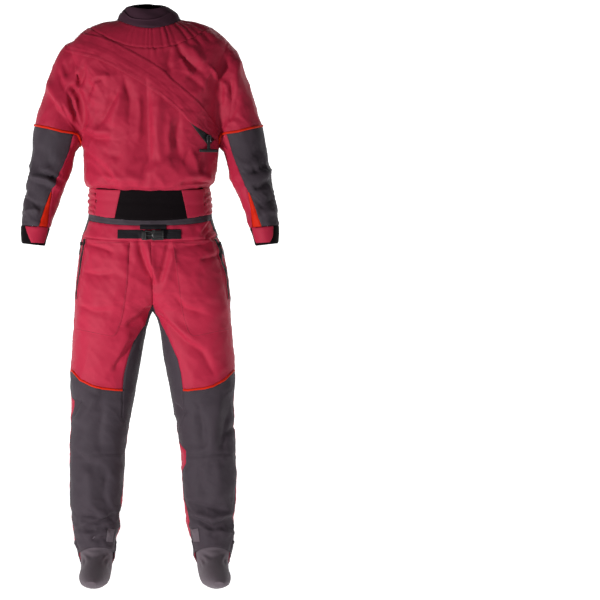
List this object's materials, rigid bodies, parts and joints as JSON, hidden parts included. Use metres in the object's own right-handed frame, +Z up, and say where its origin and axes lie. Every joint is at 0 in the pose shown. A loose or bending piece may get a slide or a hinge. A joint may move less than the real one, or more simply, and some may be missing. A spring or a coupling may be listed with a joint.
{
  "type": "drysuit",
  "caption": "Full-body paddling drysuit, filled out as worn: wrap-over neoprene collar, slanting chest zip under a flap, overskirt waist, belt, pockets, drop seat zip and sewn-in socks.",
  "frame": {"origin": "between the wearer's shoulders, on the middle line just below the neck, where the wearer carries the suit", "axes": "+Z up, the front of the suit faces -Y, the wearer's left is +X"},
  "size_m": [0.7218, 0.33, 1.6367],
  "materials": {
    "red_cloth": "woven three-layer laminate, matt",
    "grey_cloth": "woven three-layer laminate, matt",
    "orange_cloth": "woven cloth and piping cord",
    "plum_neoprene": "foamed rubber faced with knit",
    "black_neoprene": "foamed rubber faced with knit",
    "black_webbing": "woven webbing",
    "black_zip": "coated zip tape",
    "black_plastic": "moulded plastic",
    "grey_sock": "laminated cloth sock"
  },
  "bodies": {
    "suit": {"ankle_strap_left": "grey_cloth", "ankle_strap_right": "grey_cloth", "back_lower": "red_cloth", "back_upper": "red_cloth", "belt": "black_webbing", "buckle": "black_plastic", "calf_left": "red_cloth", "calf_right": "red_cloth", "collar_band": "plum_neoprene", "collar_tab": "black_neoprene", "collar_wrap": "plum_neoprene", "crotch_gusset": "grey_cloth", "cuff_left": "black_neoprene", "cuff_right": "black_neoprene", "cuff_tab_left": "red_cloth", "cuff_tab_right": "red_cloth", "entry_flap": "red_cloth", "entry_slider": "black_plastic", "entry_zip": "black_zip", "front_lower": "red_cloth", "front_upper": "red_cloth", "neck_gasket": "black_neoprene", "neck_tunnel": "red_cloth", "pocket_left": "red_cloth", "pocket_left_slider": "black_plastic", "pocket_right": "red_cloth", "pocket_right_slider": "black_plastic", "pocket_zip_left": "black_zip", "pocket_zip_right": "black_zip", "seat": "grey_cloth", "seat_zip": "black_zip", "shin_left": "grey_cloth", "shin_right": "grey_cloth", "sleeve_outer_left": "grey_cloth", "sleeve_outer_right": "grey_cloth", "sleeve_piping_left": "orange_cloth", "sleeve_piping_right": "orange_cloth", "sleeve_under_left": "red_cloth", "sleeve_under_right": "red_cloth", "sleeve_upper_left": "red_cloth", "sleeve_upper_right": "red_cloth", "sleeve_wedge_left": "orange_cloth", "sleeve_wedge_right": "orange_cloth", "sock_left": "grey_sock", "sock_right": "grey_sock", "thigh_piping_left": "orange_cloth", "thigh_piping_right": "orange_cloth", "trouser_front_left": "red_cloth", "trouser_front_right": "red_cloth", "waist_back": "plum_neoprene", "waist_binding": "grey_cloth", "waist_front": "black_neoprene", "waist_side_left": "red_cloth", "waist_side_right": "red_cloth", "waist_tab_left": "red_cloth", "waist_tab_right": "red_cloth", "waistband": "red_cloth"},
    "entry_pull": {"entry_pull": "black_plastic"},
    "pocket_left_pull": {"pocket_left_pull": "black_plastic"},
    "pocket_right_pull": {"pocket_right_pull": "black_plastic"}
  },
  "joints": [
    {"name": "entry_pull_swing", "type": "hinge", "parent": "suit", "child": "entry_pull", "pos_m": [0.1638, -0.09463, -0.284], "axis": [-0.788, -0.6157, 0], "range_deg": [0, 110]},
    {"name": "pocket_left_pull_swing", "type": "hinge", "parent": "suit", "child": "pocket_left_pull", "pos_m": [0.19648, -0.04179, -0.57915], "axis": [-0.4695, -0.8829, 0], "range_deg": [0, 110]},
    {"name": "pocket_right_pull_swing", "type": "hinge", "parent": "suit", "child": "pocket_right_pull", "pos_m": [-0.19278, -0.03982, -0.57927], "axis": [-0.4695, 0.8829, 0], "range_deg": [0, 110]}
  ]
}
